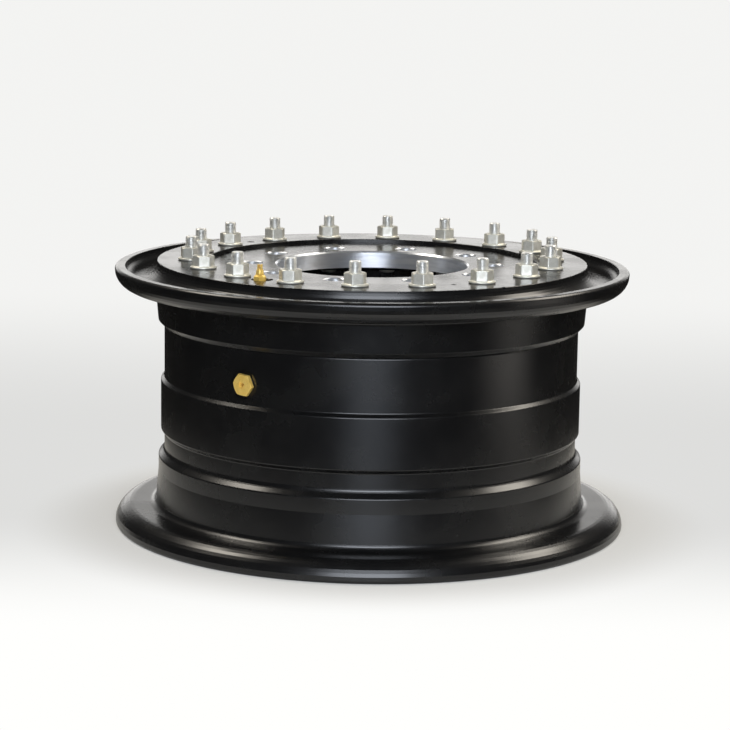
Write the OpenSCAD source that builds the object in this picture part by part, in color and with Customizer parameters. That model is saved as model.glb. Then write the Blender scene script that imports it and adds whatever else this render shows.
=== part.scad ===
// Split rim wheel, lying on its inboard flange.
// The inboard half carries the barrel, the disc and the studs. The outboard half is a
// flange with a clamp ring: it slides over the barrel's end and the nuts pull it down.
// Origin: on the floor under the wheel's axis. +Z runs up the axis, outboard.
// A turn is counted in degrees from -Y towards +X.

/* [Flanges and bead seats] */
// Diameter of a bead seat where it meets the flange
bead_seat_d = 514.35; // [500:0.05:530]
// Height of a flange over its bead seat
flange_h = 47.825; // [44:0.025:52]
// Height of the wheel from one lip to the other
wheel_h = 310.5; // [304:0.5:324]
// Slope of the bead seats in degrees
seat_slope = 5; // [4:0.5:6]
// Depth of a flange, from its lip to the face that holds the tyre
flange_w = 25; // [24:0.5:28]
// Outer radius of the flange's curl
curl_r = 21; // [18:0.5:21]
// Rounding of a lip's outer edge
lip_round = 3.8; // [2:0.2:3.8]
// Thickness of a flange
flange_t = 12; // [9:0.5:13]
// Fillet between a bead seat and its flange
seat_fillet = 8; // [6:0.5:10]
// Width of the outboard bead seat, from its flange to the joint
skirt_w = 44.4; // [40:0.2:50]
// Chamfer along the outboard half's free edge
skirt_chamfer = 5.8; // [4:0.2:6]

/* [Barrel] */
// How far the barrel's surface lies inside the wide end of a bead seat
barrel_inset = 10.575; // [9:0.025:13]
// How far the barrel steps in at the joint, where the outboard half slides over it
pilot_step = 2.4; // [2:0.1:2.6]
// Rounding of the barrel's turned edges
turned_edge = 2.6; // [1:0.2:2.6]
// Thickness of the barrel's wall
barrel_wall = 9.6; // [8:0.2:12]
// Height of the lower edge of the raised band round the barrel
band_low = 115; // [110:1:125]
// Width of the raised band
band_w = 59.3; // [50:0.1:65]
// How far the band stands proud, which is also the size of its chamfers
band_proud = 4.1; // [2.5:0.1:5]
// Height of the sharp shoulder above the inboard bead seat
shoulder_z = 83.3; // [78:0.1:86]
// Width of the straight stretch below the shoulder
shoulder_w = 17.5; // [12:0.5:22]
// Fillet at the foot of the shoulder's slope
shoulder_fillet = 8; // [5:0.5:9]

/* [Clamp ring] */
// How far the ring's rim lies inside the wide end of a bead seat
ring_inset = 2.175; // [0:0.025:6]
// Distance from the studs' circle in to the ring's bore
ring_inner = 20; // [17:0.5:26]
// Thickness of the clamp ring
ring_t = 16; // [14:0.5:20]
// How far the ring stands above the lip
ring_rise = 6; // [4:0.5:8]
// Radius of the cove at the foot of the ring's rim
gutter_fillet = 17; // [8:0.5:18]

/* [Disc and hub] */
// Thickness of the disc under the clamp ring
disc_t = 22; // [18:0.5:26]
// Thickness of the disc at the hub
hub_t = 20.6; // [18:0.1:26]
// How far the disc's middle lies below the top of the ring
hub_drop = 4.4; // [3:0.1:7]
// Distance from the ring's bore in to the edge of the machined pad that meets the hub
pad_inset = 20; // [16:0.5:26]
// Distance from the pad's edge in to the circle of the wheel bolts
bolt_inset = 32.125; // [28:0.025:36]
// Distance from the circle of the wheel bolts in to the bore for the hub
bore_inset = 29.375; // [26:0.125:34]
// Chamfer round the top of the bore
bore_chamfer = 2; // [1:0.5:3]
// Number of holes for the wheel bolts
lug_count = 10; // [8:1:10]
// Diameter of a wheel bolt's hole
lug_hole_d = 26; // [22:0.5:28]
// Chamfer round each of these holes
lug_chamfer = 1; // [0.5:0.5:1.5]
// Turn of the first wheel bolt's hole in degrees
lug_turn = 19; // [0:1:35]

/* [Clamp studs and nuts] */
// Number of studs
stud_count = 18; // [16:1:20]
// Distance from the barrel's surface in to the studs' circle
stud_inset = 31.6; // [28:0.2:34]
// Diameter of a stud
stud_d = 14; // [12:1:16]
// How much wider than a stud its knurled collar is, which is pressed into the disc
collar_extra = 1.2; // [0.8:0.1:2]
// Clearance round a stud in the clamp ring
stud_gap = 0.75; // [0.5:0.05:1]
// How far a stud stands out of the clamp ring
stud_out = 28; // [24:0.2:34]
// Diameter of a stud's head
head_d = 20; // [18.5:0.5:23]
// Thickness of a stud's head
head_t = 6; // [4:0.5:8]
// Turn of the first stud in degrees
stud_turn = -5; // [-10:1:10]
// Width across the flats of a nut
nut_af = 23; // [21:0.5:24]
// Height of a nut
nut_h = 15; // [12:0.5:17]
// Diameter of a nut's flange
nut_flange_d = 31; // [28:0.5:33]
// Thickness of the nut's flange at its edge
nut_edge = 2.2; // [1.5:0.1:3]

/* [Small holes in the ring] */
// Hole for a screw that pushes the two halves apart
jack_hole_d = 8; // [6:0.5:10]
// Hole for a locating pin
pin_hole_d = 5.6; // [4:0.2:8]
// Width of the alignment notch at the ring's edge
notch_w = 4; // [3:0.5:6]
// Depth of the notch
notch_depth = 2.5; // [2:0.5:4]
// Hole in the ring round the valve
valve_hole_d = 24; // [23.6:0.2:27]

/* [Valve] */
// How far the valve stands aside of its hole's centre
valve_shift = 3; // [1:0.5:3]
// Width across the flats of the valve's body
valve_af = 13; // [11:0.5:15]
// How far the body's six-sided part stands out of the ring
valve_out = 5.2; // [4:0.2:10]
// Diameter of the valve's threaded shank
shank_d = 12; // [10:0.5:12.5]
// How far the shank reaches below the disc
shank_below = 18; // [16:0.5:26]
// Diameter of the air passage
air_d = 4; // [3:0.5:4.5]
// Diameter of the neck that takes the cap
neck_d = 6; // [5.6:0.1:6.4]
// Width across the flats of the cap
cap_af = 8.6; // [8:0.2:10]
// Height of the cap's six-sided part
cap_h = 5.4; // [5:0.2:8]
// Diameter of the forked end of the cap
fork_d = 6.2; // [5:0.2:7]
// Height of the forked end
fork_h = 6.2; // [5:0.2:8]
// Width across the flats of the lock nut under the disc
lock_af = 19; // [17:0.5:24]
// Height of the lock nut
lock_h = 8; // [6:0.5:9]
// Diameter of the air pipe
pipe_d = 8; // [7:0.5:8.5]
// Thickness of the seals under the valve and the fitting
seal_t = 1.5; // [1:0.1:2]
// Half of the width of the elbow block inside the barrel
elbow_half = 14; // [12:0.5:16]

/* [Fitting on the barrel] */
// Distance from the joint line down to the fitting's centre
fitting_drop = 39.8; // [34:0.1:44]
// Width across the flats of its head
fitting_af = 23.5; // [21:0.5:25]
// Height of its head
fitting_head = 4.5; // [3:0.5:6]
// Turn of the head about its own axis in degrees
fitting_turn = -5; // [-30:1:30]
// Diameter of the counterbore round it
pocket_d = 34.5; // [32:0.5:38]
// Depth of the counterbore
pocket_depth = 2; // [1.5:0.1:3]

/* [Seal between the halves] */
// Width of the seal's groove
groove_w = 8; // [7:0.5:9]
// Depth of the groove
groove_depth = 4; // [3.5:0.5:4.5]
// Distance from the joint line up to the groove
groove_rise = 20; // [16:1:24]

/* [Hidden] */

// Clearances and small edge radii
slide_gap = 0.3;
hole_gap = 0.2;
edge = 0.8;
lead_in = 2;
eps = 0.01;
arc_step = 11.25;

// Radii and heights that several pieces share
seat_r = bead_seat_d / 2;
lip_r = seat_r + flange_h;
barrel_r = seat_r - barrel_inset;
inner_r = barrel_r - barrel_wall;
lip_in = lip_r - flange_t;
low_face = flange_w;
high_face = wheel_h - flange_w;
gutter_z = high_face + flange_t;
joint_z = high_face - skirt_w;
ring_top = wheel_h + ring_rise;
seat_z = ring_top - ring_t;
disc_low = seat_z - disc_t;
hub_top = ring_top - hub_drop;
hub_face = hub_top - hub_t;
curl = min(curl_r, flange_w - lip_round - 0.1);
cove_r = min(gutter_fillet, ring_top - gutter_z - edge - 0.2);
ring_r = seat_r - ring_inset;
stud_r = barrel_r - stud_inset;
ring_bore_r = stud_r - ring_inner;
boss_r = ring_bore_r - slide_gap;
pad_r = ring_bore_r - pad_inset;
lug_r = pad_r - bolt_inset;
hub_bore_r = lug_r - bore_inset;
hub_bore_d = 2 * hub_bore_r;
pilot_r = barrel_r - pilot_step;
skirt_r = pilot_r + slide_gap;
collar_d = stud_d + collar_extra;
pitch = 360 / stud_count;
valve_turn = stud_turn - 1.5 * pitch;
pin_turn = stud_turn + 1.5 * pitch;
jack_turn = stud_turn - 6.5 * pitch;
notch_turn = stud_turn + 2 * pitch;

// The seal's groove and the two radii that squeeze it
groove_low = joint_z + groove_rise;
groove_high = groove_low + groove_w;
groove_r = pilot_r - groove_depth;

// Heights along the valve, from its cap down to the elbow
body_low = seat_z + seal_t;
body_top = ring_top + valve_out;
cap_low = body_top + hole_gap;
cap_top = cap_low + cap_h;
neck_top = cap_top - 1.2;
shank_low = disc_low - shank_below;
socket = 10;
fitting_z = joint_z - fitting_drop;
elbow_top = fitting_z + elbow_half;
elbow_in = stud_r - elbow_half + 2;
pipe_low = elbow_top - socket;

// Radial places of the fitting on the barrel
pocket_r = barrel_r - pocket_depth;
head_r = pocket_r + seal_t;
fitting_in = stud_r + pipe_d / 2 + 4;

$fn = 96;
lathe_fn = 240;

// Radius of a bead seat at a distance from its flange
function seat_at(along) = seat_r - along * tan(seat_slope);

shoulder_r = seat_at(shoulder_z - shoulder_w - low_face);

function unit(v) = v / norm(v);

function half_turn(a) = a > 180 ? a - 360 : a < -180 ? a + 360 : a;

// Points of the arc that rounds the corner p between the sides to a and c
function corner_arc(a, p, c, r) =
    let (
        u = unit(a - p),
        v = unit(c - p),
        half = acos(u * v) / 2,
        back = r / tan(half),
        mid = p + unit(u + v) * r / sin(half),
        first = p + u * back - mid,
        last = p + v * back - mid,
        from = atan2(first[1], first[0]),
        turn = half_turn(atan2(last[1], last[0]) - from),
        steps = max(2, ceil(abs(turn) / arc_step))
    )
    [for (i = [0 : steps])
        mid + r * [cos(from + turn * i / steps), sin(from + turn * i / steps)]];

function flat(p) = [p[0], p[1]];

// An outline from corners [x, y, radius], where a radius of 0 leaves a sharp corner
function rounded(corners) =
    let (n = len(corners))
    [for (i = [0 : n - 1])
        each corners[i][2] > 0
            ? corner_arc(flat(corners[(i + n - 1) % n]), flat(corners[i]),
                         flat(corners[(i + 1) % n]), corners[i][2])
            : [flat(corners[i])]];

module lathe(corners) {
    rotate_extrude($fn = lathe_fn)
        polygon(rounded(corners));
}

// Places its children on a circle, standing up along +Z
module at(turn, r) {
    rotate([0, 0, turn])
        translate([0, -r, 0])
            children();
}

// Places its children at a turn and a height, pointing out of the barrel
module outward(turn, z) {
    rotate([0, 0, turn])
        translate([0, 0, z])
            rotate([90, 0, 0])
                children();
}

module at_studs() {
    for (i = [0 : stud_count - 1])
        at(stud_turn + i * pitch, stud_r)
            children();
}

module at_lugs() {
    for (i = [0 : lug_count - 1])
        at(lug_turn + i * 360 / lug_count, lug_r)
            children();
}

module at_valve() {
    rotate([0, 0, valve_turn])
        translate([-valve_shift, -stud_r, 0])
            children();
}

// A cylinder between two heights
module post(d, low, high) {
    translate([0, 0, low])
        cylinder(d = d, h = high - low);
}

// A cone between two heights
module taper(d_low, d_high, low, high) {
    translate([0, 0, low])
        cylinder(d1 = d_low, d2 = d_high, h = high - low);
}

// A six-sided prism between two heights, with its top corners chamfered
module hexagon(af, low, high) {
    corner_d = af / cos(30);
    bevel = (corner_d - af) / 2 * tan(30);
    intersection() {
        translate([0, 0, low])
            cylinder(d = corner_d, h = high - low, $fn = 6);
        union() {
            post(corner_d + 1, low - 1, high - bevel);
            taper(corner_d + 1, af, high - bevel * (corner_d + 1 - af) / (corner_d - af), high);
        }
    }
}

// A hole between two heights with a chamfer at its top
module chamfered_hole(d, low, high, chamfer) {
    post(d, low - 1, high + 1);
    taper(d, d + 2 * chamfer + 2 * eps, high - chamfer, high + eps);
}

module inner_rim() {
    color([0.11, 0.11, 0.12])
    difference() {
        lathe([
            [hub_bore_r, hub_top, 0],
            [boss_r, hub_top, edge],
            [boss_r, seat_z, 0],
            [pilot_r - lead_in, seat_z, 0],
            [pilot_r, seat_z - lead_in, 0],
            [pilot_r, groove_high, 0],
            [groove_r, groove_high, 0],
            [groove_r, groove_low, 0],
            [pilot_r, groove_low, 0],
            [pilot_r, joint_z - hole_gap, 0],
            [barrel_r, joint_z - hole_gap, pilot_step - hole_gap],
            [barrel_r, band_low + band_w + band_proud, turned_edge],
            [barrel_r + band_proud, band_low + band_w, turned_edge],
            [barrel_r + band_proud, band_low, turned_edge],
            [barrel_r, band_low - band_proud, turned_edge],
            [barrel_r, shoulder_z + shoulder_r - barrel_r, shoulder_fillet],
            [shoulder_r, shoulder_z, turned_edge],
            [shoulder_r, shoulder_z - shoulder_w, 0],
            [seat_r, low_face, seat_fillet],
            [lip_r, low_face, curl],
            [lip_r, 0, lip_round],
            [lip_in, 0, edge],
            [lip_in, low_face - flange_t, curl - flange_t],
            [inner_r, low_face - flange_t, seat_fillet],
            [inner_r, disc_low, seat_fillet],
            [pad_r + hub_face - disc_low, disc_low, edge],
            [pad_r, hub_face, edge],
            [hub_bore_r, hub_face, 0]
        ]);
        taper(hub_bore_d - 2 * eps, hub_bore_d + 2 * bore_chamfer,
              hub_top - bore_chamfer - eps, hub_top + eps);
        at_studs()
            post(collar_d, disc_low - 1, seat_z + 1);
        at_lugs()
            chamfered_hole(lug_hole_d, hub_face, hub_top, lug_chamfer);
        at_valve()
            post(shank_d + 2 * hole_gap, disc_low - 1, seat_z + 1);
        outward(valve_turn, fitting_z) {
            post(shank_d + 2 * hole_gap, inner_r - barrel_wall, barrel_r + 1);
            post(pocket_d, pocket_r, barrel_r + barrel_wall);
        }
    }
}

module outer_rim() {
    color([0.12, 0.12, 0.13])
    difference() {
        lathe([
            [ring_bore_r, ring_top, edge],
            [ring_r, ring_top, edge],
            [ring_r, gutter_z, cove_r],
            [lip_in, gutter_z, curl - flange_t],
            [lip_in, wheel_h, edge],
            [lip_r, wheel_h, lip_round],
            [lip_r, high_face, curl],
            [seat_r, high_face, seat_fillet],
            [seat_at(skirt_w - skirt_chamfer), joint_z + skirt_chamfer, edge],
            [seat_at(skirt_w - skirt_chamfer) - skirt_chamfer, joint_z, edge / 2],
            [skirt_r, joint_z, 0],
            [skirt_r, seat_z, edge],
            [ring_bore_r, seat_z, 0]
        ]);
        at_studs()
            post(stud_d + 2 * stud_gap, seat_z - 1, ring_top + 1);
        at(valve_turn, stud_r)
            chamfered_hole(valve_hole_d, seat_z, ring_top, edge);
        at(pin_turn, stud_r)
            chamfered_hole(pin_hole_d, seat_z, ring_top, edge / 2);
        at(jack_turn, stud_r)
            chamfered_hole(jack_hole_d, seat_z, ring_top, edge);
        at(notch_turn, ring_r)
            translate([-notch_w / 2, -notch_depth, ring_top - notch_depth])
                cube([notch_w, 2 * notch_depth, 2 * notch_depth]);
    }
}

// Round cord squeezed between the bottom of its groove and the outboard half's bore
module rim_seal() {
    cord_low = groove_low + hole_gap;
    cord_high = groove_high - hole_gap;
    squeeze = (skirt_r - groove_r) / 2 - edge / 2;
    color([0.05, 0.05, 0.05])
        lathe([
            [groove_r, cord_low, squeeze],
            [skirt_r, cord_low, squeeze],
            [skirt_r, cord_high, squeeze],
            [groove_r, cord_high, squeeze]
        ]);
}

module stud() {
    tip = ring_top + stud_out;
    tip_chamfer = 1;
    post(stud_d, seat_z - eps, tip - tip_chamfer);
    taper(stud_d, stud_d - 2 * tip_chamfer, tip - tip_chamfer, tip);
    post(collar_d, disc_low - eps, seat_z);
    taper(head_d, head_d - 1.5, disc_low - head_t, disc_low - head_t + 1.5);
    post(head_d, disc_low - head_t + 1, disc_low);
}

module clamp_studs() {
    color([0.72, 0.73, 0.70])
        at_studs()
            stud();
}

// A flanged nut: its cone runs from the flange's edge up to the six flats
module nut() {
    cone_h = 2.6;
    hex_top = ring_top + nut_h;
    difference() {
        union() {
            post(nut_flange_d, ring_top, ring_top + nut_edge);
            taper(nut_flange_d, nut_af, ring_top + nut_edge, ring_top + nut_edge + cone_h);
            hexagon(nut_af, ring_top, hex_top);
        }
        post(stud_d, ring_top - 1, hex_top + 1);
        taper(stud_d - 2 * eps, stud_d + 2, hex_top - 1 - eps, hex_top + eps);
    }
}

module clamp_nuts() {
    color([0.76, 0.77, 0.73])
        at_studs()
            nut();
}

// Six-sided body on the disc, with a neck for the cap above and a shank below
module valve_body() {
    shoulder_h = 3;
    corner_d = valve_af / cos(30);
    color([0.85, 0.65, 0.22])
    at_valve()
        difference() {
            union() {
                intersection() {
                    hexagon(valve_af, body_low, body_top);
                    union() {
                        post(corner_d + 1, body_low - 1, body_top - shoulder_h);
                        taper(corner_d + 1, corner_d - 2 * shoulder_h + 1,
                              body_top - shoulder_h, body_top + eps);
                    }
                }
                post(neck_d, body_top - 1, neck_top);
                post(shank_d, shank_low, body_low + 1);
            }
            post(air_d, shank_low - 1, neck_top + 1);
            post(pipe_d, shank_low - 1, shank_low + socket);
        }
}

module valve_seal() {
    color([0.06, 0.06, 0.06])
    at_valve()
        difference() {
            post(valve_af / cos(30), seat_z, body_low);
            post(shank_d, seat_z - 1, body_low + 1);
        }
}

// Spring-loaded insert in the neck, with the pin that opens it
module valve_core() {
    core_h = 14;
    pin_d = 1.6;
    color([0.80, 0.62, 0.25])
    at_valve() {
        post(air_d, neck_top - core_h, neck_top - 2);
        post(pin_d, neck_top - 2 - eps, neck_top - 0.4);
    }
}

// Screw cap whose slotted end is a key for the core
module valve_cap() {
    slot_w = 1.6;
    slot_turn = 20;
    color([0.86, 0.66, 0.22])
    at_valve()
        difference() {
            union() {
                intersection() {
                    hexagon(cap_af, cap_low, cap_top);
                    taper(cap_af + 1.4, cap_af - 1, cap_low, cap_top);
                }
                post(fork_d, cap_top - 1, cap_top + fork_h);
            }
            post(neck_d, cap_low - 1, neck_top + hole_gap);
            rotate([0, 0, slot_turn])
                translate([-slot_w / 2, -fork_d, cap_top + 1])
                    cube([slot_w, 2 * fork_d, fork_h]);
            rotate([0, 0, slot_turn])
                for (side = [-1, 1])
                    translate([-fork_d, side * fork_d * 0.86 - fork_d / 2, cap_top + 1])
                        cube([2 * fork_d, fork_d, fork_h]);
        }
}

module valve_lock_nut() {
    color([0.84, 0.64, 0.22])
    at_valve()
        difference() {
            mirror([0, 0, 1])
                hexagon(lock_af, -disc_low, lock_h - disc_low);
            post(shank_d, disc_low - lock_h - 1, disc_low + 1);
        }
}

// Pipe from the elbow up into the valve's shank
module valve_pipe() {
    color([0.80, 0.60, 0.25])
    at_valve()
        difference() {
            post(pipe_d, pipe_low, shank_low + socket);
            post(air_d, pipe_low - 1, shank_low + socket + 1);
        }
}

// Block that turns the air from the fitting up into the pipe, seated on the barrel's inside
module valve_elbow() {
    color([0.82, 0.62, 0.24])
    difference() {
        intersection() {
            rotate([0, 0, valve_turn])
                translate([-elbow_half, -inner_r - 1, fitting_z - elbow_half])
                    cube([2 * elbow_half, inner_r + 1 - elbow_in, 2 * elbow_half]);
            post(2 * inner_r, 0, wheel_h, $fn = lathe_fn);
        }
        at_valve() {
            post(pipe_d, pipe_low, elbow_top + 1);
            post(air_d, fitting_z - air_d / 2, pipe_low + 1);
        }
        outward(valve_turn, fitting_z) {
            post(shank_d, fitting_in, inner_r + 1);
            post(air_d, stud_r - air_d / 2, fitting_in + 1);
        }
    }
}

// Hollow screw that clamps the elbow and lets air into the tyre
module barrel_fitting() {
    sink_d = 8;
    sink_depth = 0.8;
    face_r = head_r + fitting_head;
    color([0.87, 0.68, 0.20])
    outward(valve_turn, fitting_z)
        difference() {
            union() {
                rotate([0, 0, fitting_turn])
                    hexagon(fitting_af, head_r, face_r);
                post(shank_d, fitting_in, head_r + 1);
            }
            post(air_d, fitting_in - 1, face_r + 1);
            post(sink_d, face_r - sink_depth, face_r + 1);
        }
}

module fitting_seal() {
    color([0.07, 0.07, 0.07])
    outward(valve_turn, fitting_z)
        difference() {
            post(fitting_af, pocket_r, head_r);
            post(shank_d, pocket_r - 1, head_r + 1);
        }
}

inner_rim();
outer_rim();
rim_seal();
clamp_studs();
clamp_nuts();
valve_body();
valve_seal();
valve_core();
valve_cap();
valve_lock_nut();
valve_pipe();
valve_elbow();
barrel_fitting();
fitting_seal();
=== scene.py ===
# %% [markdown]
# # A split rim wheel, lying on its inboard flange
# The real wheel is two forged and turned aluminium halves under a black baked coat.
# The outboard half is a ring with a flange. Eighteen plated nuts pull it down on studs.
# The solids come from a CAD file, so this lesson is about surfaces, small parts and light.

# %% The CAD model becomes the frame of the scene
import math

import bpy
import numpy as np
from mathutils import Matrix, Vector


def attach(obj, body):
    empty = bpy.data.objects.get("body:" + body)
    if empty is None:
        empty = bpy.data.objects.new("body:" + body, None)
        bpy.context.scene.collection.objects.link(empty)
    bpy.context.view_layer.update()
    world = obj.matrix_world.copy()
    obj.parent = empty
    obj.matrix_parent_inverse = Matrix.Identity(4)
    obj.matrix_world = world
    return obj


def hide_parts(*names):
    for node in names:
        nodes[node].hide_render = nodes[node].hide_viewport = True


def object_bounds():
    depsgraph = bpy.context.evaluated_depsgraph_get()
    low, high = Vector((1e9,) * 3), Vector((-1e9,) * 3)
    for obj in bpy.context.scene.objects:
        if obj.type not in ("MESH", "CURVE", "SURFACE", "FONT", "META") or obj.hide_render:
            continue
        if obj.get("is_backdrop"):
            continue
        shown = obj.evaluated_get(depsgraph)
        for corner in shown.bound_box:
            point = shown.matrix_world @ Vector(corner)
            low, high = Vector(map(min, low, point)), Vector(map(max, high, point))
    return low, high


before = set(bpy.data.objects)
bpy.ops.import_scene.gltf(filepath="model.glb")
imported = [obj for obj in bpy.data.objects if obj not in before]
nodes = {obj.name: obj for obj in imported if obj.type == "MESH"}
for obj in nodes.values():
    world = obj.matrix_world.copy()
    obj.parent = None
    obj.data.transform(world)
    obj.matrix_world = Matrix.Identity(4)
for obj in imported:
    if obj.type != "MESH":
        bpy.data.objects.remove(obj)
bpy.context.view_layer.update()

MM = 0.001

# %% [markdown]
# ## A few short helpers
# A shader tree is easier to read as code when one call makes a node, sets its choices and
# fills its sockets. A value that is itself a socket becomes a link.

# %% Helpers for shader trees
def add(tree, kind, sockets=None, **choices):
    made = tree.nodes.new("ShaderNode" + kind)
    for name, value in choices.items():
        setattr(made, name, value)
    for name, value in (sockets or {}).items():
        if isinstance(value, bpy.types.NodeSocket):
            tree.links.new(value, made.inputs[name])
        else:
            made.inputs[name].default_value = value
    return made


def maths(tree, operation, *values, clamp=False):
    sockets = dict(enumerate(values))
    return add(tree, "Math", sockets, operation=operation, use_clamp=clamp).outputs[0]


def ramp(tree, value, low, high, to_low=0.0, to_high=1.0):
    sockets = {"Value": value, "From Min": low, "From Max": high,
               "To Min": to_low, "To Max": to_high}
    made = add(tree, "MapRange", sockets, interpolation_type="SMOOTHSTEP")
    return made.outputs["Result"]


def tint(tree, factor, first, second):
    """A colour between two colours, where each may be a socket or a plain colour."""
    made = tree.nodes.new("ShaderNodeMix")
    made.data_type = "RGBA"
    for name, value in (("Factor_Float", factor), ("A_Color", first), ("B_Color", second)):
        socket = next(s for s in made.inputs if s.identifier == name)
        if isinstance(value, bpy.types.NodeSocket):
            tree.links.new(value, socket)
        else:
            socket.default_value = (*value, 1.0) if name != "Factor_Float" else value
    return next(s for s in made.outputs if s.identifier == "Result_Color")


# %% [markdown]
# ## Distances, turns and noise
# The wheel is round, so much of what changes here is said by the distance from its axis and by
# the turn round that axis. Both come from coordinates that belong to an object or to the world,
# and never from the camera, so every view shows the same surface.

# %% Helpers for places, directions and noise
# Most values of a noise lie between these two
NOISE_LOW, NOISE_HIGH = 0.3, 0.7


def axes_of(tree, space):
    """The three numbers of a place (Object) or of a direction in the world (Generated)."""
    made = add(tree, "SeparateXYZ", {0: add(tree, "TexCoord").outputs[space]})
    return [made.outputs[i] for i in range(3)]


def from_axis(tree, x, y):
    """Distance from the wheel's axis."""
    squares = [maths(tree, "MULTIPLY", v, v) for v in (x, y)]
    return maths(tree, "SQRT", maths(tree, "ADD", *squares))


def bearing_of(tree, x, y):
    """Turn from the side that faces the camera, positive to the right."""
    return maths(tree, "ARCTAN2", x, maths(tree, "MULTIPLY", y, -1.0))


def spill(tree, bearing, centre, half):
    """A mask that is 1 at one bearing and fades to 0 over half degrees to each side."""
    aside = maths(tree, "ABSOLUTE", maths(tree, "SUBTRACT", bearing, math.radians(centre)))
    return ramp(tree, aside, math.radians(half), 0.0)


def noise_of(tree, place, length, detail, rough=0.5):
    """Noise whose waves are about length metres long."""
    frequency = maths(tree, "DIVIDE", 1.0, length)
    return add(tree, "TexNoise", {"Vector": place, "Scale": frequency,
                                  "Detail": detail, "Roughness": rough}).outputs["Fac"]


# %% [markdown]
# ## Node groups
# A grain or a wear that several finishes share is built once, as a node group. Each material
# then puts its own sizes into it.

# %% Helpers for node groups
def new_group(name, inputs, outputs):
    """A node group with number inputs (name: default) and named outputs (name: kind)."""
    tree = bpy.data.node_groups.new(name, "ShaderNodeTree")
    for label, value in inputs.items():
        socket = tree.interface.new_socket(label, in_out="INPUT", socket_type="NodeSocketFloat")
        socket.default_value = value
    for label, kind in outputs.items():
        tree.interface.new_socket(label, in_out="OUTPUT", socket_type="NodeSocket" + kind)
    return tree, tree.nodes.new("NodeGroupInput"), tree.nodes.new("NodeGroupOutput")


def use(tree, group, **values):
    made = tree.nodes.new("ShaderNodeGroup")
    made.node_tree = group
    for name, value in values.items():
        made.inputs[name.replace("_", " ")].default_value = value
    return made


# %% [markdown]
# ## Orange peel
# A baked coat flows a little before it sets, and keeps soft waves a few millimetres long and
# a much finer grain. The waves are only thousandths of a millimetre high, so in real geometry
# they would cost far too many faces. One group gives a height for the Bump node instead, and a
# tone that lets the gloss change from place to place.

# %% Group: orange peel
peel, given, result = new_group(
    "orange_peel", {"Wave Length": 0.004, "Grain Size": 0.0006, "Patch Size": 0.05},
    {"Height": "Float", "Tone": "Float"})
GRAIN_SHARE = 0.12
place = add(peel, "TexCoord").outputs["Object"]
waves = noise_of(peel, place, given.outputs["Wave Length"], 1.0)
grain = noise_of(peel, place, given.outputs["Grain Size"], 1.0)
patches = noise_of(peel, place, given.outputs["Patch Size"], 4.0, 0.6)
fine = maths(peel, "MULTIPLY", grain, GRAIN_SHARE)
peel.links.new(maths(peel, "ADD", waves, fine), result.inputs["Height"])
peel.links.new(ramp(peel, patches, NOISE_LOW, NOISE_HIGH), result.inputs["Tone"])
print("group", peel.name, len(peel.nodes), "nodes")

# %% [markdown]
# ## Turning marks
# A turned face keeps the tool's fine rings round the wheel's axis. Their height depends on the
# radius and on the height over the floor, and hardly on the turn, so the group squeezes the
# turn before it asks for noise.

# %% Group: turning marks round the wheel's axis
turned, given, result = new_group(
    "turning_marks", {"Pitch": 0.0004, "Streak": 2.0}, {"Height": "Float", "Tone": "Float"})
BAND_STRETCH = (0.06, 0.06, 1.0)
x, y, z = axes_of(turned, "Object")
angle = maths(turned, "ARCTAN2", x, y)
across = maths(turned, "DIVIDE", from_axis(turned, x, y), given.outputs["Pitch"])
along = maths(turned, "DIVIDE", z, given.outputs["Pitch"])
around = maths(turned, "MULTIPLY", angle, given.outputs["Streak"])
ring_place = add(turned, "CombineXYZ", {0: across, 1: along, 2: around}).outputs[0]
rings = add(turned, "TexNoise", {"Vector": ring_place, "Scale": 1.0, "Detail": 2.0}).outputs["Fac"]
wide_place = add(turned, "VectorMath", {0: ring_place, 1: BAND_STRETCH},
                 operation="MULTIPLY").outputs[0]
bands = add(turned, "TexNoise", {"Vector": wide_place, "Scale": 1.0, "Detail": 1.0}).outputs["Fac"]
turned.links.new(rings, result.inputs["Height"])
turned.links.new(ramp(turned, bands, NOISE_LOW, NOISE_HIGH), result.inputs["Tone"])
print("group", turned.name, len(turned.nodes), "nodes")

# %% [markdown]
# ## Metal skin
# Zinc, steel and brass all show clouds of slightly different shine, fine scratches, and a few
# dark specks. They could be painted, but noise needs no unwrapping and repeats nowhere. One
# group gives the three as masks, and each metal uses them in its own measure.

# %% Group: clouds, scratches and specks of a metal skin
skin, given, result = new_group(
    "metal_skin", {"Cloud Size": 0.012, "Scratch Size": 0.0008, "Speck Size": 0.0006},
    {"Clouds": "Float", "Scratches": "Float", "Specks": "Float"})
SCRATCH_TURN, SCRATCH_STRETCH = (0.4, 0.7, 0.3), (1.0, 1.0, 0.08)
SCRATCH_FROM, SCRATCH_TO, SPECK_FROM, SPECK_TO = 0.52, 0.66, 0.68, 0.78
place = add(skin, "TexCoord").outputs["Object"]
clouds = noise_of(skin, place, given.outputs["Cloud Size"], 3.0, 0.6)
speck_noise = noise_of(skin, place, given.outputs["Speck Size"], 0.0)
stretched = add(skin, "Mapping", {"Vector": place, "Rotation": SCRATCH_TURN,
                                  "Scale": SCRATCH_STRETCH}).outputs[0]
scratch = noise_of(skin, stretched, given.outputs["Scratch Size"], 2.0)
skin.links.new(ramp(skin, clouds, NOISE_LOW, NOISE_HIGH), result.inputs["Clouds"])
skin.links.new(ramp(skin, scratch, SCRATCH_FROM, SCRATCH_TO), result.inputs["Scratches"])
skin.links.new(ramp(skin, speck_noise, SPECK_FROM, SPECK_TO), result.inputs["Specks"])
print("group", skin.name, len(skin.nodes), "nodes")

# %% [markdown]
# ## The black coat
# The coat is a thick black film with a satin shine: nearly all of its look is reflection, so
# the base is almost black and the roughness carries the picture. The film's waves bend the
# highlights along the curls, and its fine grain softens them. A clear layer over a coloured
# base is the usual way to make lacquer, but over a base this dark one gloss is enough.

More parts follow.
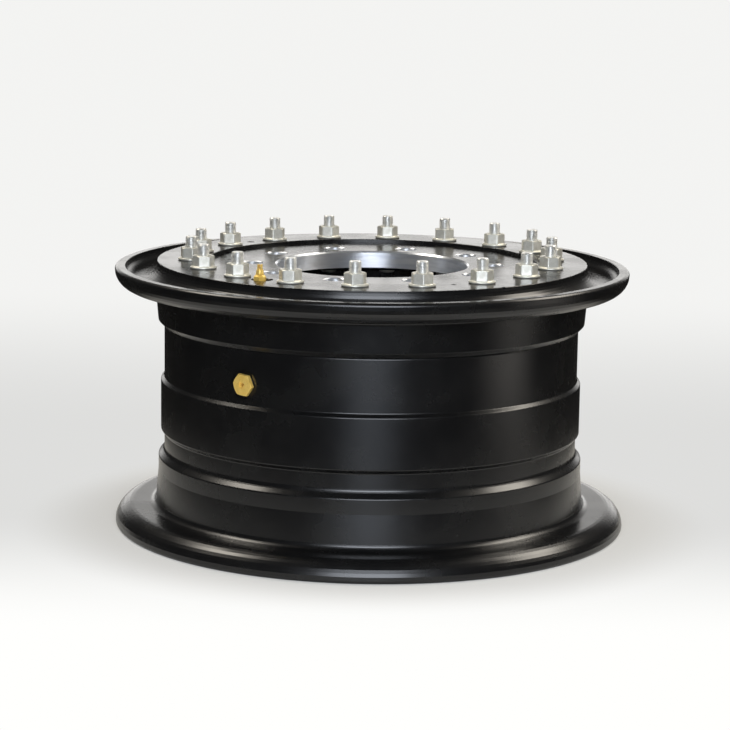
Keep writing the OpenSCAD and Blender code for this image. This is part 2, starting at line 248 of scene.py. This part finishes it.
# %% Material: black coat
COAT_BLACK = (0.004, 0.004, 0.0045)
COAT_DUSTY = (0.007, 0.007, 0.007)
COAT_SMOOTH, COAT_ROUGH = 0.24, 0.28
COAT_WAVE, COAT_BUMP = 0.006 * MM, 0.4


def principled(name, **values):
    material = bpy.data.materials.new(name)
    material.use_nodes = True
    shader = material.node_tree.nodes["Principled BSDF"]
    for label, value in values.items():
        shader.inputs[label.replace("_", " ")].default_value = value
    return material, material.node_tree, shader


def bump(tree, shader, height, depth, strength=1.0):
    made = add(tree, "Bump", {"Height": height, "Distance": depth, "Strength": strength})
    tree.links.new(made.outputs[0], shader.inputs["Normal"])
    return made


coat, tree, shader = principled("black_coat", IOR=1.6)
film = use(tree, peel, Wave_Length=0.0035, Grain_Size=0.0005, Patch_Size=0.06)
tree.links.new(tint(tree, film.outputs["Tone"], COAT_BLACK, COAT_DUSTY),
               shader.inputs["Base Color"])
tree.links.new(ramp(tree, film.outputs["Tone"], 0.0, 1.0, COAT_SMOOTH, COAT_ROUGH),
               shader.inputs["Roughness"])
bump(tree, shader, film.outputs["Height"], COAT_WAVE, COAT_BUMP)
print("material", coat.name)

# %% [markdown]
# ## Bare turned aluminium
# The hub bore and the wheel bolts' holes are machined after coating, so they shine. A plain
# metal would mirror the room there. An anisotropic one draws each reflection out across the
# tool's rings, which is what makes bright upright streaks.

# %% Material: bare aluminium
BARE_BRIGHT = (0.92, 0.94, 0.97)
BARE_DULL = (0.70, 0.73, 0.78)
BARE_SMOOTH, BARE_ROUGH, TOOL_RING = 0.30, 0.42, 0.04 * MM
bare, tree, shader = principled("bare_aluminium", Metallic=0.85, Anisotropic=0.8,
                                Anisotropic_Rotation=0.25)
marks = use(tree, turned, Pitch=0.00035, Streak=3.0)
tree.links.new(tint(tree, marks.outputs["Tone"], BARE_DULL, BARE_BRIGHT),
               shader.inputs["Base Color"])
tree.links.new(ramp(tree, marks.outputs["Tone"], 0.0, 1.0, BARE_ROUGH, BARE_SMOOTH),
               shader.inputs["Roughness"])
bump(tree, shader, marks.outputs["Height"], TOOL_RING)
print("material", bare.name)

# %% [markdown]
# ## Plated steel
# Nuts and studs are zinc plated: pale grey with a slight yellow cast on the nuts, duller in
# clouds. Dull plating scatters light as well as mirroring it, so these metals are only partly
# metallic. A pure metal would mirror mostly the dark room and look darker than it is. The same
# recipe makes the valve's brass.

# %% Materials: plated nuts, plated studs and brass
SPECK_SHARE, SPECK_DARK, SCRATCH_ROUGH, SCRATCH_BUMP = 0.5, 0.35, 0.08, 0.6


def metal(name, metallic, light, dark, smooth, rough, group_sizes, grain_depth):
    """light and smooth hold in the middle of the clouds, dark and rough between them."""
    material, tree, shader = principled(name, Metallic=metallic)
    look = use(tree, skin, **group_sizes)
    toned = tint(tree, look.outputs["Clouds"], dark, light)
    specks = maths(tree, "MULTIPLY", look.outputs["Specks"], SPECK_SHARE)
    tree.links.new(tint(tree, specks, toned, tuple(SPECK_DARK * c for c in dark)),
                   shader.inputs["Base Color"])
    gloss = ramp(tree, look.outputs["Clouds"], 0.0, 1.0, rough, smooth)
    tree.links.new(maths(tree, "MULTIPLY_ADD", look.outputs["Scratches"], SCRATCH_ROUGH, gloss),
                   shader.inputs["Roughness"])
    bump(tree, shader, look.outputs["Scratches"], grain_depth, SCRATCH_BUMP)
    return material


zinc = metal("plated_nut", 0.62, (0.96, 0.945, 0.86), (0.80, 0.785, 0.69), 0.34, 0.46,
             {"Cloud_Size": 0.009, "Scratch_Size": 0.0007}, 0.02 * MM)
stud_skin = metal("plated_stud", 0.75, (0.95, 0.95, 0.92), (0.78, 0.78, 0.75), 0.28, 0.40,
                  {"Cloud_Size": 0.006, "Scratch_Size": 0.0005}, 0.02 * MM)
brass = metal("brass", 0.3, (1.0, 0.70, 0.19), (0.92, 0.60, 0.12), 0.36, 0.46,
              {"Cloud_Size": 0.008, "Scratch_Size": 0.0006}, 0.015 * MM)
print("materials", zinc.name, stud_skin.name, brass.name)

# %% [markdown]
# ## Rubber
# The seals are moulded rubber: black, matt, with a fine sooty grain. Little of them shows, so
# they use the orange peel group again, with shorter waves and a deeper bump.

# %% Material: black rubber
RUBBER_BLACK, RUBBER_SOOTY = (0.012, 0.012, 0.012), (0.03, 0.03, 0.03)
RUBBER_SMOOTH, RUBBER_ROUGH, RUBBER_GRAIN = 0.55, 0.8, 0.08 * MM
rubber, tree, shader = principled("black_rubber", IOR=1.45)
bloom = use(tree, peel, Wave_Length=0.002, Grain_Size=0.0003, Patch_Size=0.01)
tree.links.new(tint(tree, bloom.outputs["Tone"], RUBBER_BLACK, RUBBER_SOOTY),
               shader.inputs["Base Color"])
tree.links.new(ramp(tree, bloom.outputs["Tone"], 0.0, 1.0, RUBBER_SMOOTH, RUBBER_ROUGH),
               shader.inputs["Roughness"])
bump(tree, shader, bloom.outputs["Height"], RUBBER_GRAIN)
print("material", rubber.name)

# %% [markdown]
# ## Dressing the two halves
# The halves keep their CAD meshes, whose circles are fine enough for a close look. Only the
# faces of the hub bore and of the wheel bolts' holes get the bare metal, with their chamfers.
# A mask in the shader could do the same, but a border between faces stays sharp from close by.
# The faces are found by where they lie.

# %% Materials on the halves
LUG_COUNT, LUG_CIRCLE, LUG_R, LUG_TURN = 10, 142.875 * MM, 13 * MM, 19
BORE_R, DISC_LOW = 113.5 * MM, 278.5 * MM
BORE_MARGIN, LUG_MARGIN = 2.6 * MM, 0.9 * MM


def dress(obj, *materials):
    obj.data.materials.clear()
    for material in materials:
        obj.data.materials.append(material)


def face_centres(mesh):
    values = np.zeros(len(mesh.polygons) * 3)
    mesh.polygons.foreach_get("center", values)
    return values.reshape(-1, 3)


def bare_faces(mesh):
    centre = face_centres(mesh)
    r = np.hypot(centre[:, 0], centre[:, 1])
    found = (r < BORE_R + BORE_MARGIN) & (centre[:, 2] > DISC_LOW)
    for i in range(LUG_COUNT):
        turn = math.radians(LUG_TURN + i * 360 / LUG_COUNT)
        dx = centre[:, 0] - LUG_CIRCLE * math.sin(turn)
        dy = centre[:, 1] + LUG_CIRCLE * math.cos(turn)
        found |= np.hypot(dx, dy) < LUG_R + LUG_MARGIN
    return found


dress(nodes["inner_rim"], coat, bare)
found = bare_faces(nodes["inner_rim"].data)
nodes["inner_rim"].data.polygons.foreach_set("material_index", found.astype(np.int32))
dress(nodes["outer_rim"], coat)
for name in ("rim_seal", "valve_seal", "fitting_seal"):
    dress(nodes[name], rubber)
for name in ("valve_body", "valve_core", "valve_cap", "valve_lock_nut", "valve_pipe",
             "valve_elbow", "barrel_fitting"):
    dress(nodes[name], brass)
print("bare faces", int(found.sum()))

# %% [markdown]
# ## Studs with a real thread
# A stud is a cold-formed pin: a round head and a knurled collar below, and a rolled M14 thread
# above. The thread is a surface whose radius depends on height and turn together, so a grid of
# points round the axis gives it its helix without any boolean.

# %% Radius of the thread
STUD_R, PITCH, STUD_TIP = 7 * MM, 1.5 * MM, 344.5 * MM
THREAD_DEPTH, THREAD_LOW, TIP_CHAMFER = 0.92 * MM, 328.5 * MM, 1.0 * MM
CREST_SHARE, FLANK_SHARE, RUN_OUT = 0.18, 0.55, 2 * MM


def thread_radius(z, turn):
    """Flat crest, flat root and straight flanks between them."""
    wave = np.abs(((z / PITCH - turn / (2 * math.pi)) % 1.0) * 2 - 1)
    cut = np.clip((wave - CREST_SHARE) / FLANK_SHARE, 0, 1)
    deepening = np.clip((z - THREAD_LOW) / RUN_OUT, 0, 1)
    r = STUD_R - THREAD_DEPTH * cut * deepening
    return np.minimum(r, STUD_R - TIP_CHAMFER + (STUD_TIP - z))


# %% [markdown]
# A turned body is a stack of rings of points. Rows that share a height make sharp steps. The
# end rows may close on a point at the axis, as the stud's do.

# %% A mesh from rings of points
SHARP_FROM = 32


def ring_mesh(name, rows, turns, bottom=None, top=None):
    """rows is an array [row, turn, 3]. bottom and top are heights of closing points."""
    count = len(turns)
    points = rows.reshape(-1, 3).tolist()
    faces = []
    for i in range(len(rows) - 1):
        for j in range(count):
            k = (j + 1) % count
            faces.append((i * count + j, i * count + k, (i + 1) * count + k, (i + 1) * count + j))
    if bottom is not None:
        points.append((0, 0, bottom))
        faces += [(len(points) - 1, (j + 1) % count, j) for j in range(count)]
    if top is not None:
        points.append((0, 0, top))
        last = (len(rows) - 1) * count
        faces += [(len(points) - 1, last + j, last + (j + 1) % count) for j in range(count)]
    mesh = bpy.data.meshes.new(name)
    mesh.from_pydata(points, [], faces)
    mesh.polygons.foreach_set("use_smooth", [True] * len(mesh.polygons))
    mesh.set_sharp_from_angle(angle=math.radians(SHARP_FROM))
    mesh.update()
    return mesh


def round_rows(profile, turns):
    """Rows of points from (radius, height) pairs, where a radius may be a function."""
    rows = []
    for r, z in profile:
        radius = r(z, turns) if callable(r) else np.full(len(turns), r)
        rows.append(np.stack([radius * np.sin(turns), -radius * np.cos(turns),
                              np.full(len(turns), z)], axis=-1))
    return np.array(rows)


# %% [markdown]
# The stud's rows run up its head, its collar and its shank, and then close together through the
# thread, because a helix needs several rows for each of its turns.

# %% The stud
STUD_SIDES, ROWS_PER_PITCH = 48, 14
HEAD_R, HEAD_T, COLLAR_R, SEAT_Z = 10 * MM, 6 * MM, 7.6 * MM, 300.5 * MM
HEAD_DOME, DOME_LOW, DOME_TOP, HEAD_EDGE = 1.5 * MM, 1.1 * MM, 1.6 * MM, 0.3 * MM
turns = np.linspace(0, 2 * math.pi, STUD_SIDES, endpoint=False)
head_low = DISC_LOW - HEAD_T
stud_profile = [(HEAD_R - HEAD_DOME, head_low), (HEAD_R - HEAD_EDGE, head_low + DOME_LOW),
                (HEAD_R, head_low + DOME_TOP), (HEAD_R, DISC_LOW - HEAD_EDGE),
                (HEAD_R - HEAD_EDGE, DISC_LOW), (COLLAR_R, DISC_LOW), (COLLAR_R, SEAT_Z),
                (STUD_R, SEAT_Z), (STUD_R, THREAD_LOW)]
row_step = PITCH / ROWS_PER_PITCH
thread_rows = np.arange(THREAD_LOW + row_step, STUD_TIP - 1e-9, row_step)
stud_profile += [(thread_radius, z) for z in thread_rows] + [(thread_radius, STUD_TIP)]
stud_mesh = ring_mesh("stud", round_rows(stud_profile, turns), turns, head_low, STUD_TIP)
stud_mesh.materials.append(stud_skin)
print("stud faces", len(stud_mesh.polygons))

# %% [markdown]
# ## Flanged nuts
# A flange nut is forged: a six-sided body that flows into a round cone at its foot, with the
# corners turned off at its top. Booleans between a prism and two cones would give hard edges.
# Here each height has a simple rule for the radius, which is the larger of the cone's and the
# hexagon's, a little filled where they meet, and never more than the chamfer's.

# %% The nut
NUT_AF, NUT_H, NUT_FLANGE_R, NUT_EDGE, NUT_CONE = 23 * MM, 15 * MM, 15.5 * MM, 2.0 * MM, 1.3 * MM
RING_TOP = 316.5 * MM
NUT_TOP = RING_TOP + NUT_H
NUT_SIDES, BORE, LEAD = 120, STUD_R, 1 * MM
FOOT_INSET, EDGE_INSET, EDGE_UP = 1.1 * MM, 0.15 * MM, 0.8 * MM
CORNER_CUT, CORNER_SOFT, FACE_INSET = 0.33 * MM, 0.12 * MM, 0.25 * MM
FILLET, TOP_INSET, TOP_SLOPE = 0.5 * MM, 0.15 * MM, math.radians(30)


def hexagon_radius(turn):
    """Distance to the side of a hexagon whose corners are cut and rounded a little."""
    local = (turn + math.pi / 6) % (math.pi / 3) - math.pi / 6
    side = NUT_AF / 2 / np.cos(local)
    corner = NUT_AF / 2 / math.cos(math.pi / 6) - CORNER_CUT
    both = np.exp(-side / CORNER_SOFT) + np.exp(-corner / CORNER_SOFT)
    return -np.log(both) * CORNER_SOFT


def nut_radius(z, turn):
    up = z - RING_TOP
    cone = NUT_FLANGE_R - max(0.0, up - NUT_EDGE) / NUT_CONE * (NUT_FLANGE_R - NUT_AF / 2)
    if up > NUT_EDGE + NUT_CONE:
        cone = 0.0
    body = hexagon_radius(turn)
    r = np.maximum(cone, body) + FILLET / 4 * np.exp(-((cone - body) / FILLET) ** 2)
    top = NUT_AF / 2 - TOP_INSET + (NUT_TOP - z) / math.tan(TOP_SLOPE)
    return np.minimum(r, top)


nut_turns = np.linspace(0, 2 * math.pi, NUT_SIDES, endpoint=False)
# Heights in mm: rows lie close where the cone meets the hexagon and where the corners are cut
heights = [1.0, 1.5, *np.linspace(1.9, 3.9, 19), 7.5, 10.5, 13.0,
           *np.linspace(13.7, 14.85, 10)]
nut_profile = [(BORE, RING_TOP), (NUT_FLANGE_R - FOOT_INSET, RING_TOP),
               (NUT_FLANGE_R - EDGE_INSET, RING_TOP + EDGE_UP)]
nut_profile += [(nut_radius, RING_TOP + h * MM) for h in heights]
nut_profile += [(NUT_AF / 2 - FACE_INSET, NUT_TOP), (BORE + LEAD, NUT_TOP),
                (BORE, NUT_TOP - LEAD), (BORE, RING_TOP + LEAD), (BORE, RING_TOP)]
nut_mesh = ring_mesh("nut", round_rows(nut_profile, nut_turns), nut_turns)
nut_mesh.materials.append(zinc)
print("nut faces", len(nut_mesh.polygons))

# %% [markdown]
# Every nut stops at its own turn when it is tightened, so each copy of the nut gets one. The
# copies share one mesh, which keeps the file small.

# %% Placing studs and nuts
STUD_COUNT, STUD_CIRCLE, STUD_TURN, STUD_SPIN = 18, 215 * MM, -5, 37
# Bearing of a corner in degrees: of each nut as read from the photograph, and of the nut's mesh
NUT_CORNERS = [46, 7, 25, 26, 44, 28, 5, 16, 0, 30, 20, 52, 25, 40, 13, 41, 39, 20]
MESH_CORNER = 30


def place_copy(name, mesh, turn, spin, cad_node):
    obj = bpy.data.objects.new(name, mesh)
    bpy.context.scene.collection.objects.link(obj)
    a = math.radians(turn)
    obj.location = (STUD_CIRCLE * math.sin(a), -STUD_CIRCLE * math.cos(a), 0)
    obj.rotation_euler = (0, 0, math.radians(spin))
    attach(obj, "root")
    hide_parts(cad_node)
    return obj


for i in range(STUD_COUNT):
    turn = STUD_TURN + i * 360 / STUD_COUNT
    place_copy(f"stud_{i + 1:02d}", stud_mesh, turn, STUD_SPIN * i % 360,
               "clamp_studs")
    place_copy(f"nut_{i + 1:02d}", nut_mesh, turn, NUT_CORNERS[i] - MESH_CORNER,
               "clamp_nuts")
print("studs and nuts", 2 * STUD_COUNT)

# %% [markdown]
# ## Floor and backdrop
# The wheel lies on a pale table that runs back into a white sweep. One large disc is both: near
# the wheel it takes light and shadow. Farther off the camera sees white paper whose shade is
# painted into its tone: a soft band of painted shade across it at the wheel's height, with the
# paper painted brightest in front and pale again far behind.

# %% The floor
FLOOR_R, FLOOR_DROP = 30.0, 0.2 * MM
FLOOR_RINGS = (0.3, 0.6, 1.2, 2.5, 6.0)


def floor_disc(radius, count=96):
    points = [(0, 0, 0)]
    rings = (*FLOOR_RINGS, radius)
    for r in rings:
        points += [(r * math.cos(2 * math.pi * i / count), r * math.sin(2 * math.pi * i / count), 0)
                   for i in range(count)]
    faces = [(0, 1 + i, 1 + (i + 1) % count) for i in range(count)]
    for k in range(len(rings) - 1):
        a, b = 1 + k * count, 1 + (k + 1) * count
        faces += [(a + i, b + i, b + (i + 1) % count, a + (i + 1) % count) for i in range(count)]
    mesh = bpy.data.meshes.new("floor")
    mesh.from_pydata(points, [], faces)
    obj = bpy.data.objects.new("floor", mesh)
    bpy.context.scene.collection.objects.link(obj)
    obj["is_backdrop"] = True
    return obj


floor = floor_disc(FLOOR_R)
floor.location.z = -FLOOR_DROP
print("floor radius", FLOOR_R)

# %% [markdown]
# The paper's shader mixes three things: paper under the real light near the wheel, paper with
# painted light and shade in its tone for the camera farther off, and the dark room for rays that
# the coat mirrors.

# %% What the camera sees of the floor
# Levels of the paper's painted tone: MID_WHITE is the painted shade in the band at the wheel's
# height
BACK_WHITE, MID_WHITE, NEAR_SHARE = 0.90, 0.73, 0.35
NEAR_FROM, NEAR_TO = 0.30, 0.43
FRONT_FROM, FRONT_TO, BACK_FROM, BACK_TO = 0.02, -0.50, 0.50, 1.90
PAPER_LIT, PAPER_EVEN = (0.84, 0.84, 0.815, 1.0), (1.0, 1.0, 0.985, 1.0)

paper = bpy.data.materials.new("paper_floor")
paper.use_nodes = True
tree = paper.node_tree
tree.nodes.clear()
fx, fy = axes_of(tree, "Object")[:2]
reach = from_axis(tree, fx, fy)
bearing = bearing_of(tree, fx, fy)
rays = add(tree, "LightPath")
# Painted light and shade in the paper's tone: brighter in front, painted shade at the wheel's
# height, paler far behind
in_front = ramp(tree, fy, FRONT_FROM, FRONT_TO, 0.0, 1.0 - MID_WHITE)
behind = ramp(tree, fy, BACK_FROM, BACK_TO, MID_WHITE, BACK_WHITE)
white = maths(tree, "ADD", in_front, behind)
lit = add(tree, "BsdfDiffuse", {"Color": PAPER_LIT})
painted_paper = add(tree, "Emission", {"Color": PAPER_EVEN, "Strength": white})
far = ramp(tree, reach, NEAR_FROM, NEAR_TO, NEAR_SHARE, 1.0)
seen_far = maths(tree, "MULTIPLY", far, rays.outputs["Is Camera Ray"])
seen = add(tree, "MixShader", {0: seen_far, 1: lit.outputs[0], 2: painted_paper.outputs[0]})
print("floor tones", MID_WHITE, "to", BACK_WHITE)

# %% [markdown]
# A wholly white table would turn the coat grey. So the coat mirrors only a pale rim of table near
# the wheel and then a dark room, which is what keeps it black. A soft patch of light on the
# table, off to the right, draws the pale stripe on that side of the barrel.

# %% What the coat mirrors of the floor
PATCH_AT, PATCH_HALF, PATCH_LEVEL, ROOM_LEVEL = 74, 22, 0.95, 0.02
PATCH_TINT = (1.0, 0.95, 0.88, 1.0)
PATCH_FROM, PATCH_TO, PATCH_WEAK, PATCH_STRONG = 1.05, 1.55, 0.35, 1.25
RIM_FRONT, RIM_MORE_ASIDE, RIM_FADE, ASIDE_FROM, ASIDE_TO = 0.42, 0.06, 0.22, 25, 50

beyond = ramp(tree, reach, PATCH_FROM, PATCH_TO, PATCH_WEAK, PATCH_STRONG)
aside = maths(tree, "MULTIPLY", spill(tree, bearing, PATCH_AT, PATCH_HALF), PATCH_LEVEL)
glow = maths(tree, "MULTIPLY", aside, beyond)
patch = add(tree, "Emission", {"Color": PATCH_TINT,
                               "Strength": maths(tree, "ADD", glow, ROOM_LEVEL)})
clear = add(tree, "BsdfTransparent")
room = add(tree, "AddShader", {0: patch.outputs[0], 1: clear.outputs[0]})
sideways = ramp(tree, maths(tree, "ABSOLUTE", bearing), math.radians(ASIDE_FROM),
                math.radians(ASIDE_TO))
lit_to = maths(tree, "MULTIPLY_ADD", sideways, RIM_MORE_ASIDE, RIM_FRONT)
dark = ramp(tree, maths(tree, "SUBTRACT", reach, lit_to), 0.0, RIM_FADE)
mirrored = maths(tree, "MULTIPLY", dark, rays.outputs["Is Glossy Ray"])
mixed = add(tree, "MixShader", {0: mirrored, 1: seen.outputs[0], 2: room.outputs[0]})
add(tree, "OutputMaterial", {"Surface": mixed.outputs[0]})
floor.data.materials.append(paper)
print("material", paper.name, len(tree.nodes), "nodes")

# %% [markdown]
# ## Light
# The world is bright low behind the wheel and dark overhead and in front, as in a small studio
# with a white backdrop. The table lets mirrored rays through where it is dark, so a faint glow
# under the horizon in front can draw the pale stripe up the middle of the barrel.

# %% The world
GLOW_FROM, GLOW_TO, LOW_FROM, LOW_TO = 0.86, 0.975, 0.29, 0.16
BACK_LEVEL, SKY_LEVEL, HORIZON = 2.2, 0.04, 0.01
STRIPE_HALF, STRIPE_LEVEL, STRIPE_LOW, STRIPE_FULL, STRIPE_TOP = 21, 1.35, -0.32, -0.14, 0.03
SKY_TINT, STRIPE_TINT = (1.0, 0.985, 0.96, 1.0), (0.80, 0.88, 1.0, 1.0)
BACKDROP_TINT = (0.98, 0.98, 0.975, 1.0)

world = bpy.data.worlds.new("studio")
bpy.context.scene.world = world
world.use_nodes = True
tree = world.node_tree
tree.nodes.clear()
wx, wy, wz = axes_of(tree, "Generated")
back = ramp(tree, wy, GLOW_FROM, GLOW_TO)
low = ramp(tree, wz, LOW_FROM, LOW_TO)
glow = maths(tree, "MULTIPLY_ADD", maths(tree, "MULTIPLY", back, low), BACK_LEVEL, SKY_LEVEL)
level = maths(tree, "MULTIPLY", glow, ramp(tree, wz, -HORIZON, HORIZON))
sky = add(tree, "Background", {"Color": SKY_TINT, "Strength": level})
ahead = spill(tree, bearing_of(tree, wx, wy), 0, STRIPE_HALF)
rising = maths(tree, "MULTIPLY", ramp(tree, wz, STRIPE_LOW, STRIPE_FULL),
               ramp(tree, wz, STRIPE_TOP, 0.0))
pale = maths(tree, "MULTIPLY", maths(tree, "MULTIPLY", ahead, rising), STRIPE_LEVEL)
front = add(tree, "Background", {"Color": STRIPE_TINT, "Strength": pale})
surround = add(tree, "AddShader", {0: sky.outputs[0], 1: front.outputs[0]})
backdrop = add(tree, "Background", {"Color": BACKDROP_TINT, "Strength": BACK_WHITE})
rays = add(tree, "LightPath")
both = add(tree, "MixShader", {0: rays.outputs["Is Camera Ray"], 1: surround.outputs[0],
                               2: backdrop.outputs[0]})
add(tree, "OutputWorld", {"Surface": both.outputs[0]})
print("world", world.name)

# %% [markdown]
# Three soft boxes draw the highlights on the curls. A cool one stands low in front, and two warm
# ones hang high to the left and right, slightly behind the wheel. A box's power grows with its
# area, so the table below gives its radiance, which is how bright it looks in a reflection.

# %% The soft boxes
def soft_box(name, place, aim, along, length, width, radiance, colour):
    """A rectangular lamp that faces aim. Its power is its radiance times pi times its area."""
    data = bpy.data.lights.new(name, "AREA")
    data.shape = "RECTANGLE"
    data.size, data.size_y = length, width
    data.energy = radiance * math.pi * length * width
    data.color = colour
    lamp = bpy.data.objects.new(name, data)
    bpy.context.scene.collection.objects.link(lamp)
    back = (Vector(place) - Vector(aim)).normalized()
    side = (Vector(along) - Vector(along).dot(back) * back).normalized()
    turned_to = Matrix((side, back.cross(side), back)).transposed().to_4x4()
    lamp.matrix_world = Matrix.Translation(place) @ turned_to
    lamp.visible_camera = False
    return lamp


AIM = (0, 0, 0.15)
WARM, COOL = (1.0, 0.93, 0.82), (0.86, 0.91, 1.0)
# name: place, direction of the long side, length, width, radiance, colour
BOXES = {
    "box_front": ((0.0, -2.45, 1.04), (1, 0, 0), 1.5, 1.4, 6.5, COOL),
    "box_left": ((-1.51, 0.59, 2.31), (0.56, 0.83, 0.2), 1.7, 0.75, 8.5, WARM),
    "box_right": ((1.82, 0.44, 1.87), (0.57, -0.74, -0.39), 2.0, 0.85, 7.5, WARM),
}
for name, (place, *shape) in BOXES.items():
    soft_box(name, place, AIM, *shape)
print("soft boxes", len(BOXES))

# %% [markdown]
# ## Camera
# The camera was solved from the studs, both lips and the barrel in the photograph. It stands
# nearly 3 m away and looks down by 10 degrees, with a long lens.

# %% The camera
CAMERA_Y, CAMERA_Z = -2.9352655, 0.7151797
PITCH_DOWN, ROLL, YAW = 0.17724298, 0.01417313, -0.00237201
SENSOR, PICTURE_WIDE, FOCAL_PIXELS = 36.0, 730, 2487.0553
LENS = FOCAL_PIXELS * SENSOR / PICTURE_WIDE
CLIP_NEAR, CLIP_FAR = 0.05, 100.0
forward = Vector((math.sin(YAW) * math.cos(PITCH_DOWN), math.cos(YAW) * math.cos(PITCH_DOWN),
                  -math.sin(PITCH_DOWN)))
right = Vector((math.cos(YAW), -math.sin(YAW), 0))
up = right.cross(forward)
right_rolled = right * math.cos(ROLL) + up * math.sin(ROLL)
up_rolled = up * math.cos(ROLL) - right * math.sin(ROLL)
data = bpy.data.cameras.new("camera")
data.lens, data.sensor_width = LENS, SENSOR
data.clip_start, data.clip_end = CLIP_NEAR, CLIP_FAR
camera = bpy.data.objects.new("camera", data)
bpy.context.scene.collection.objects.link(camera)
turned_to = Matrix((right_rolled, up_rolled, -forward)).transposed().to_4x4()
camera.matrix_world = Matrix.Translation((0, CAMERA_Y, CAMERA_Z)) @ turned_to
bpy.context.scene.camera = camera
bpy.context.scene.view_settings.view_transform = "Standard"
print("lens", round(LENS, 2))

# %% The visual box, and the end
low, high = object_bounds()
print("visual box", [round(v, 4) for v in (*low, *high)])
